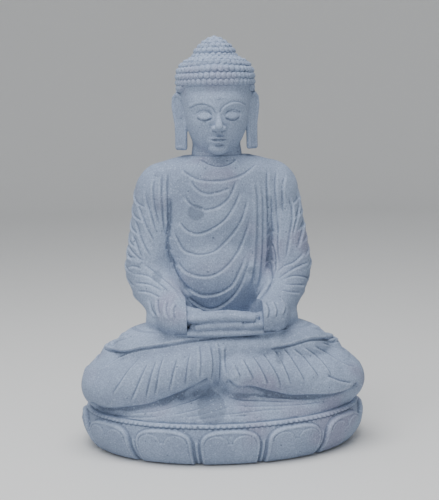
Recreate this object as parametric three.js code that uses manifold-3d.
// A seated Buddha figure on an oval lotus base, in andesite.
// The figure is worked as six stone blocks, which are bedded on thin mortar joints and pinned together with
// stainless steel dowels: lotus base, legs, torso with both arms, hands, head and top-knot.
// Units are millimetres. +Z is up, the figure faces -Y, and the origin is on the ground under the base's centre.
import * as THREE from "three";
import { mergeVertices } from "three/addons/utils/BufferGeometryUtils.js";
import Module from "manifold-3d";

const wasm = await Module();
wasm.setup();

// ---- Driving dimensions -------------------------------------------------------------------------------------
const TOTAL_HEIGHT = 1000;
const BASE_HALF_WIDTH = 350;
const BASE_HALF_DEPTH = 266;
const BASE_HEIGHT = 100;
const PETAL_COUNT = 12;
const PETAL_BULGE = 10; // how far a petal stands out of the bowl
const PETAL_RADII = [40, 80, 66]; // thickness, half width and half height

const WAIST_JOINT = 292; // top of the legs block, where the torso and the hands are bedded
const NECK_JOINT = 708;
const KNOT_JOINT = 934; // between the head and the top-knot

const JOINT = 3; // thickness of every mortar joint
const GAP = 0.3; // clearance between neighbouring pieces
const BED_INSET = 0.985; // a bed is this much narrower than the block on it, so its edge is pointed back
const BORE_SPARE = 4; // a bore runs this far past each end of its dowel
const SLEEVE = 3; // mortar round a dowel
const PACKER_RADIUS = 9;
const BASE_PACKERS = [190, 96]; // from the middle of the base to each of its four packers
const WAIST_PACKERS = 88; // radius of the ring of three
const NECK_PACKERS = 40;
const TRUNK_DEPTH = 0.6; // depth of the trunk over its width

const TORSO_Y = 52; // centre of the torso, behind the base's centre
const HEAD_Y = 30;
const NECK_BACK = 4; // the neck's centre, behind the head's
const KNOT_BACK = 8; // the top-knot's centre, behind the head's
const HANDS_Y = -142;
const HANDS_HALF_WIDTH = 88;
const HANDS_BACK = -96; // the hands block backs onto the torso block here
const HANDS_CLEAR = 508; // the space over the hands is cut out of the torso block up to here
const REACH = 2 * TOTAL_HEIGHT; // larger than any block, for cutting boxes

// ---- Solids -------------------------------------------------------------------------------------------------
const SEGMENTS = 20;
const STACKS = 10;
const BOWL_SEGMENTS = 48;
const FINE = { segments: SEGMENTS, stacks: STACKS };
const PLAIN = { segments: 14, stacks: 8 };

/** A three.js geometry, moved by a matrix, as a manifold solid. */
function solid(geometry, matrix = new THREE.Matrix4()) {
  const bare = geometry.index ? geometry.toNonIndexed() : geometry.clone();
  bare.deleteAttribute("normal");
  bare.deleteAttribute("uv");
  bare.applyMatrix4(matrix);
  const merged = mergeVertices(bare, 1e-3);
  return new wasm.Manifold(
    new wasm.Mesh({
      numProp: 3,
      vertProperties: merged.attributes.position.array,
      triVerts: new Uint32Array(merged.index.array),
    }),
  );
}

function place([x, y, z], [turnX, turnY, turnZ] = [0, 0, 0], [sx, sy, sz] = [1, 1, 1]) {
  return new THREE.Matrix4().compose(
    new THREE.Vector3(x, y, z),
    new THREE.Quaternion().setFromEuler(new THREE.Euler(turnX, turnY, turnZ, "ZYX")),
    new THREE.Vector3(sx, sy, sz),
  );
}

function join(solids) {
  return solids.reduce((whole, next) => whole.add(next));
}

function ellipsoid(centre, radii, turns, { segments, stacks } = FINE) {
  return solid(new THREE.SphereGeometry(1, segments, stacks), place(centre, turns, radii));
}

/** A box between two corners. */
function box(low, high) {
  const size = high.map((value, axis) => value - low[axis]);
  const centre = high.map((value, axis) => (value + low[axis]) / 2);
  return solid(new THREE.BoxGeometry(...size), place(centre));
}

/** Everything between two heights. */
function layer(bottom, top) {
  return box([-REACH, -REACH, bottom], [REACH, REACH, top]);
}

/** An upright cylinder from one height to another. */
function upright(radius, x, y, bottom, top) {
  const geometry = new THREE.CylinderGeometry(radius, radius, top - bottom, PLAIN.segments);
  return solid(geometry, place([x, y, (bottom + top) / 2], [Math.PI / 2, 0, 0]));
}

/** A solid of revolution about +Z. The profile runs from the axis at the bottom to the axis at the top. */
function turned(profile, centre, scale = [1, 1, 1], segments = SEGMENTS) {
  const points = profile.map(([radius, height]) => new THREE.Vector2(radius, height));
  const geometry = new THREE.LatheGeometry(points, segments);
  geometry.rotateX(Math.PI / 2);
  return solid(geometry, place(centre, [0, 0, 0], scale));
}

/** A limb from one point to another, round at both ends, that tapers from one radius to the other. */
function limb(from, fromRadius, to, toRadius) {
  const start = new THREE.Vector3(...from);
  const along = new THREE.Vector3(...to).sub(start);
  const length = along.length();
  const caps = 4;
  const points = [];
  for (let step = 0; step <= caps; step += 1) {
    const angle = (step / caps) * (Math.PI / 2);
    points.push(new THREE.Vector2(fromRadius * Math.sin(angle), -fromRadius * Math.cos(angle)));
  }
  for (let step = 0; step <= caps; step += 1) {
    const angle = (step / caps) * (Math.PI / 2);
    points.push(new THREE.Vector2(toRadius * Math.cos(angle), length + toRadius * Math.sin(angle)));
  }
  points[0].x = 0;
  points[points.length - 1].x = 0;
  const turn = new THREE.Quaternion().setFromUnitVectors(new THREE.Vector3(0, 1, 0), along.normalize());
  const matrix = new THREE.Matrix4().compose(start, turn, new THREE.Vector3(1, 1, 1));
  return solid(new THREE.LatheGeometry(points, PLAIN.segments), matrix);
}

/** Calls a function for the figure's right side (-1) and left side (+1) and joins what it returns. */
function bothSides(make) {
  return join([make(-1), make(1)]);
}

// ---- Lotus base ---------------------------------------------------------------------------------------------
function bowl() {
  const widest = BASE_HALF_WIDTH - PETAL_BULGE;
  const profile = [
    [0, 0],
    [widest * 0.9, 0],
    [widest * 0.95, 18],
    [widest * 0.985, 42],
    [widest, 68],
    [widest * 0.99, 88],
    [widest * 0.97, BASE_HEIGHT],
    [0, BASE_HEIGHT],
  ];
  const depthScale = (BASE_HALF_DEPTH - PETAL_BULGE) / widest;
  return turned(profile, [0, 0, 0], [1, depthScale, 1], BOWL_SEGMENTS);
}

/** One broad, rounded petal that stands out of the bowl at an angle round the base. */
function petal(angle) {
  const [thickness] = PETAL_RADII;
  const outward = [Math.cos(angle) / BASE_HALF_WIDTH, Math.sin(angle) / BASE_HALF_DEPTH];
  const facing = Math.atan2(outward[1], outward[0]);
  const centre = [
    BASE_HALF_WIDTH * Math.cos(angle) - thickness * Math.cos(facing),
    BASE_HALF_DEPTH * Math.sin(angle) - thickness * Math.sin(facing),
    BASE_HEIGHT * 0.56,
  ];
  return ellipsoid(centre, PETAL_RADII, [0, 0, facing], PLAIN);
}

/** The angles that divide the oval rim into equal lengths, from the middle of the front. */
function equalSteps(count) {
  const rim = new THREE.EllipseCurve(0, 0, BASE_HALF_WIDTH, BASE_HALF_DEPTH, -Math.PI / 2, Math.PI * 1.5);
  return Array.from({ length: count }, (_, index) => {
    const turn = rim.getUtoTmapping(index / count);
    return turn * 2 * Math.PI - Math.PI / 2;
  });
}

function lotusForm() {
  const petals = equalSteps(PETAL_COUNT).map(petal);
  return join([bowl(), ...petals]).intersect(layer(0, BASE_HEIGHT));
}

// ---- Figure -------------------------------------------------------------------------------------------------
function legsForm() {
  const seatCloth = turned(
    [
      [0, 90],
      [324, 90],
      [326, 106],
      [313, 118],
      [280, 126],
      [0, 126],
    ],
    [0, 0, 0],
    [1, 0.75, 1],
    32,
  );
  const thighs = ellipsoid([0, 2, 166], [319, 212, 104]);
  const hips = ellipsoid([0, 76, 205], [226, 144, 138]);
  const apron = ellipsoid([0, -112, 104], [272, 124, 70]);
  const robeUnderHands = ellipsoid([0, -128, 262], [138, 62, 40]);
  const knees = bothSides((side) => ellipsoid([side * 254, -28, 160], [92, 130, 74], [0, 0, side * 0.25]));
  const shins = bothSides((side) => limb([side * 232, -100, 158], 62, [side * 20, -182, 222], 43));
  const lapCloth = bothSides((side) => limb([side * 246, -14, 200], 58, [side * 80, -30, 236], 62));
  return join([seatCloth, thighs, hips, apron, robeUnderHands, knees, shins, lapCloth]);
}

function torsoForm() {
  const profile = [
    [0, 280],
    [158, 280],
    [150, 340],
    [146, 420],
    [152, 500],
    [166, 570],
    [176, 620],
    [178, 650],
    [168, 678],
    [146, 695],
    [114, 704],
    [84, 709],
    [66, 716],
    [0, 716],
  ];
  const trunk = turned(profile, [0, TORSO_Y, 0], [1, TRUNK_DEPTH, 1]);
  const belly = ellipsoid([0, 12, 400], [118, 72, 128]);
  const chest = ellipsoid([0, 26, 570], [128, 76, 96]);
  const shoulders = bothSides((side) => ellipsoid([side * 130, TORSO_Y, 616], [76, 76, 80]));
  const upperArms = bothSides((side) =>
    limb([side * 149, TORSO_Y - 2, 596], 59, [side * 173, TORSO_Y - 18, 430], 59),
  );
  const forearms = bothSides((side) => limb([side * 167, 24, 398], 58, [side * 86, -116, 334], 38));
  const sleeves = bothSides((side) => ellipsoid([side * 136, -10, 334], [60, 98, 52], [0, 0, side * 0.45]));
  return join([trunk, belly, chest, shoulders, upperArms, forearms, sleeves]);
}

function handsForm() {
  const lowerHand = ellipsoid([14, HANDS_Y, 306], [96, 42, 24], [0, 0, 0], PLAIN);
  const upperHand = ellipsoid([-14, HANDS_Y, 328], [92, 40, 18], [0, 0, 0], PLAIN);
  const wrists = bothSides((side) => limb([side * 104, HANDS_Y + 22, 330], 28, [side * 60, HANDS_Y + 4, 324], 22));
  const thumbs = bothSides((side) => limb([side * 52, HANDS_Y + 14, 344], 10, [side * 6, HANDS_Y - 4, 354], 8));
  return join([lowerHand, upperHand, wrists, thumbs]);
}

function headForm() {
  const neck = solid(
    new THREE.CylinderGeometry(60, 62, 100, SEGMENTS),
    place([0, HEAD_Y + NECK_BACK, 750], [Math.PI / 2, 0, 0]),
  );
  const skull = ellipsoid([0, HEAD_Y, 846], [90, 106, 92]);
  const face = ellipsoid([0, HEAD_Y - 26, 798], [80, 84, 88]);
  const hair = ellipsoid([0, HEAD_Y + 4, 868], [100, 112, 74]);
  const nose = limb([0, HEAD_Y - 102, 824], 6, [0, HEAD_Y - 112, 784], 11);
  const ears = bothSides(ear);
  return join([neck, skull, face, hair, nose, ears]);
}

/** A long ear: a shell beside the temple and a lobe that hangs free of the neck. */
function ear(side) {
  const shell = ellipsoid([side * 93, HEAD_Y + 4, 828], [14, 24, 36], [0, 0, 0], PLAIN);
  const lobe = ellipsoid([side * 93, HEAD_Y + 2, 766], [9, 15, 46], [0, 0, 0], PLAIN);
  return join([shell, lobe]);
}

function topKnotForm() {
  const profile = [
    [0, 920],
    [64, 920],
    [65, 940],
    [59, 958],
    [46, 974],
    [28, 986],
    [12, 994],
    [0, TOTAL_HEIGHT],
  ];
  return turned(profile, [0, HEAD_Y + KNOT_BACK, 0]);
}

// ---- Joints -------------------------------------------------------------------------------------------------
// Each dowel runs through one mortar joint, into both blocks. Bottom and top are heights above the ground.
const DOWELS = [
  { name: "base_dowel_right", joint: "base", radius: 8, x: -120, y: 20, bottom: 38, top: 168 },
  { name: "base_dowel_left", joint: "base", radius: 8, x: 120, y: 20, bottom: 38, top: 168 },
  { name: "waist_dowel_right", joint: "waist", radius: 8, x: -66, y: TORSO_Y, bottom: 222, top: 364 },
  { name: "waist_dowel_left", joint: "waist", radius: 8, x: 66, y: TORSO_Y, bottom: 222, top: 364 },
  { name: "hand_dowel_right", joint: "hands", radius: 4, x: -34, y: HANDS_Y, bottom: 260, top: 322 },
  { name: "hand_dowel_left", joint: "hands", radius: 4, x: 34, y: HANDS_Y, bottom: 260, top: 322 },
  { name: "neck_dowel", joint: "neck", radius: 10, x: 0, y: HEAD_Y + NECK_BACK, bottom: 634, top: 784 },
  { name: "knot_dowel", joint: "knot", radius: 5, x: 0, y: HEAD_Y + KNOT_BACK, bottom: 904, top: 966 },
];

// Packers hold a joint open at its thickness while the mortar sets.
const PACKERS = [
  ...corners(...BASE_PACKERS, "base"),
  ...ring(3, WAIST_PACKERS, "waist", [0, TORSO_Y], [1, TRUNK_DEPTH]),
  ...ring(3, NECK_PACKERS, "neck", [0, HEAD_Y + NECK_BACK], [1, 1]),
];

const JOINT_BOTTOM = {
  base: BASE_HEIGHT,
  waist: WAIST_JOINT,
  hands: WAIST_JOINT,
  neck: NECK_JOINT,
  knot: KNOT_JOINT,
};

function corners(x, y, joint) {
  const signs = [
    [-1, -1],
    [1, -1],
    [1, 1],
    [-1, 1],
  ];
  return signs.map(([sx, sy]) => ({ joint, x: sx * x, y: sy * y }));
}

function ring(count, radius, joint, [x, y], [scaleX, scaleY]) {
  return Array.from({ length: count }, (_, index) => {
    const angle = Math.PI / 2 + (index * 2 * Math.PI) / count;
    return { joint, x: x + radius * scaleX * Math.cos(angle), y: y + radius * scaleY * Math.sin(angle) };
  });
}

function dowelSolid({ radius, x, y, bottom, top }) {
  return upright(radius, x, y, bottom, top);
}

/** The holes of a joint's dowels, a little longer than the dowels. */
function bores(joint) {
  const holes = DOWELS.filter((dowel) => dowel.joint === joint).map(({ radius, x, y, bottom, top }) =>
    upright(radius + SLEEVE, x, y, bottom - BORE_SPARE, top + BORE_SPARE),
  );
  return join(holes);
}

function packerSolid({ joint, x, y }) {
  const bottom = JOINT_BOTTOM[joint];
  return upright(PACKER_RADIUS, x, y, bottom + GAP, bottom + JOINT - GAP);
}

/** The mortar of one joint: a thin plate of the joint's outline, with a sleeve round each dowel. */
function bed(joint, form) {
  const bottom = JOINT_BOTTOM[joint];
  const [low, high] = [form.boundingBox().min, form.boundingBox().max];
  const middle = [(low[0] + high[0]) / 2, (low[1] + high[1]) / 2];
  const plate = form
    .intersect(layer(bottom + GAP, bottom + JOINT - GAP))
    .translate([-middle[0], -middle[1], 0])
    .scale([BED_INSET, BED_INSET, 1])
    .translate([middle[0], middle[1], 0]);
  const dowels = DOWELS.filter((dowel) => dowel.joint === joint);
  const sleeves = dowels.map(({ radius, x, y, bottom: from, top }) =>
    upright(radius + SLEEVE - GAP, x, y, from, top),
  );
  const cores = dowels.map(({ radius, x, y, bottom: from, top }) =>
    upright(radius + GAP, x, y, from - JOINT, top + JOINT),
  );
  const seats = PACKERS.filter((packer) => packer.joint === joint).map(({ x, y }) =>
    upright(PACKER_RADIUS + GAP, x, y, bottom, bottom + JOINT),
  );
  return join([plate, ...sleeves]).subtract(join([...cores, ...seats]));
}

// ---- Blocks -------------------------------------------------------------------------------------------------
const legs = legsForm();
const torso = torsoForm();
const hands = handsForm();
const head = headForm();
const topKnot = topKnotForm();
const lotus = lotusForm();

/** The space of the hands block; a negative margin shrinks it. */
function handsSpace(margin) {
  return box(
    [-HANDS_HALF_WIDTH - margin, -BASE_HALF_DEPTH, WAIST_JOINT - margin],
    [HANDS_HALF_WIDTH + margin, HANDS_BACK + margin, HANDS_CLEAR],
  );
}

const legsBlock = legs
  .intersect(layer(BASE_HEIGHT + JOINT, WAIST_JOINT))
  .subtract(bores("base"))
  .subtract(bores("waist"))
  .subtract(bores("hands"));
const torsoBlock = torso
  .intersect(layer(WAIST_JOINT + JOINT, NECK_JOINT))
  .subtract(handsSpace(JOINT))
  .subtract(bores("waist"))
  .subtract(bores("neck"));
const handsBlock = hands
  .intersect(handsSpace(0))
  .intersect(layer(WAIST_JOINT + JOINT, NECK_JOINT))
  .subtract(bores("hands"));
const headBlock = head
  .intersect(layer(NECK_JOINT + JOINT, KNOT_JOINT))
  .subtract(bores("neck"))
  .subtract(bores("knot"));
const knotBlock = topKnot.intersect(layer(KNOT_JOINT + JOINT, REACH)).subtract(bores("knot"));
const lotusBlock = lotus.subtract(bores("base"));

/** The thin mortar between a wrist and the sleeve that it comes out of. */
function wristBed(side) {
  const inner = side * (HANDS_HALF_WIDTH + GAP);
  const outer = side * (HANDS_HALF_WIDTH + JOINT - GAP);
  const slab = box(
    [Math.min(inner, outer), -BASE_HALF_DEPTH, WAIST_JOINT + JOINT],
    [Math.max(inner, outer), HANDS_BACK, NECK_JOINT],
  );
  return hands.intersect(slab);
}

// ---- Scene graph --------------------------------------------------------------------------------------------
const ANDESITE = new THREE.MeshStandardMaterial({ color: 0x8f9aa6, roughness: 0.85, metalness: 0 });
const MORTAR = new THREE.MeshStandardMaterial({ color: 0x9aa0a6, roughness: 0.95, metalness: 0 });
const STAINLESS = new THREE.MeshStandardMaterial({ color: 0xc4c6c8, roughness: 0.35, metalness: 1 });
const PLASTIC = new THREE.MeshStandardMaterial({ color: 0x2f3236, roughness: 0.6, metalness: 0 });

const figure = new THREE.Group();

function show(name, made, material) {
  const { vertProperties, numProp, triVerts } = made.getMesh();
  const positions = new Float32Array((vertProperties.length / numProp) * 3);
  for (let vertex = 0; vertex < positions.length / 3; vertex += 1) {
    positions.set(vertProperties.subarray(vertex * numProp, vertex * numProp + 3), vertex * 3);
  }
  const geometry = new THREE.BufferGeometry();
  geometry.setAttribute("position", new THREE.BufferAttribute(positions, 3));
  geometry.setIndex(new THREE.BufferAttribute(triVerts, 1));
  geometry.computeVertexNormals();
  const mesh = new THREE.Mesh(geometry, material);
  mesh.name = name;
  figure.add(mesh);
}

show("lotus_base", lotusBlock, ANDESITE);
show("legs_block", legsBlock, ANDESITE);
show("torso_block", torsoBlock, ANDESITE);
show("hands_block", handsBlock, ANDESITE);
show("head_block", headBlock, ANDESITE);
show("top_knot", knotBlock, ANDESITE);

show("base_mortar_bed", bed("base", legs), MORTAR);
show("waist_mortar_bed", bed("waist", torso.subtract(handsSpace(JOINT))), MORTAR);
show("hands_mortar_bed", bed("hands", hands.intersect(handsSpace(0))), MORTAR);
show("neck_mortar_bed", bed("neck", head), MORTAR);
show("knot_mortar_bed", bed("knot", topKnot), MORTAR);
show("wrist_mortar_right", wristBed(-1), MORTAR);
show("wrist_mortar_left", wristBed(1), MORTAR);

DOWELS.forEach((dowel) => show(dowel.name, dowelSolid(dowel), STAINLESS));
PACKERS.forEach((packer, index) => {
  const number = PACKERS.slice(0, index + 1).filter(({ joint }) => joint === packer.joint).length;
  show(`${packer.joint}_packer_${number}`, packerSolid(packer), PLASTIC);
});

export default figure;
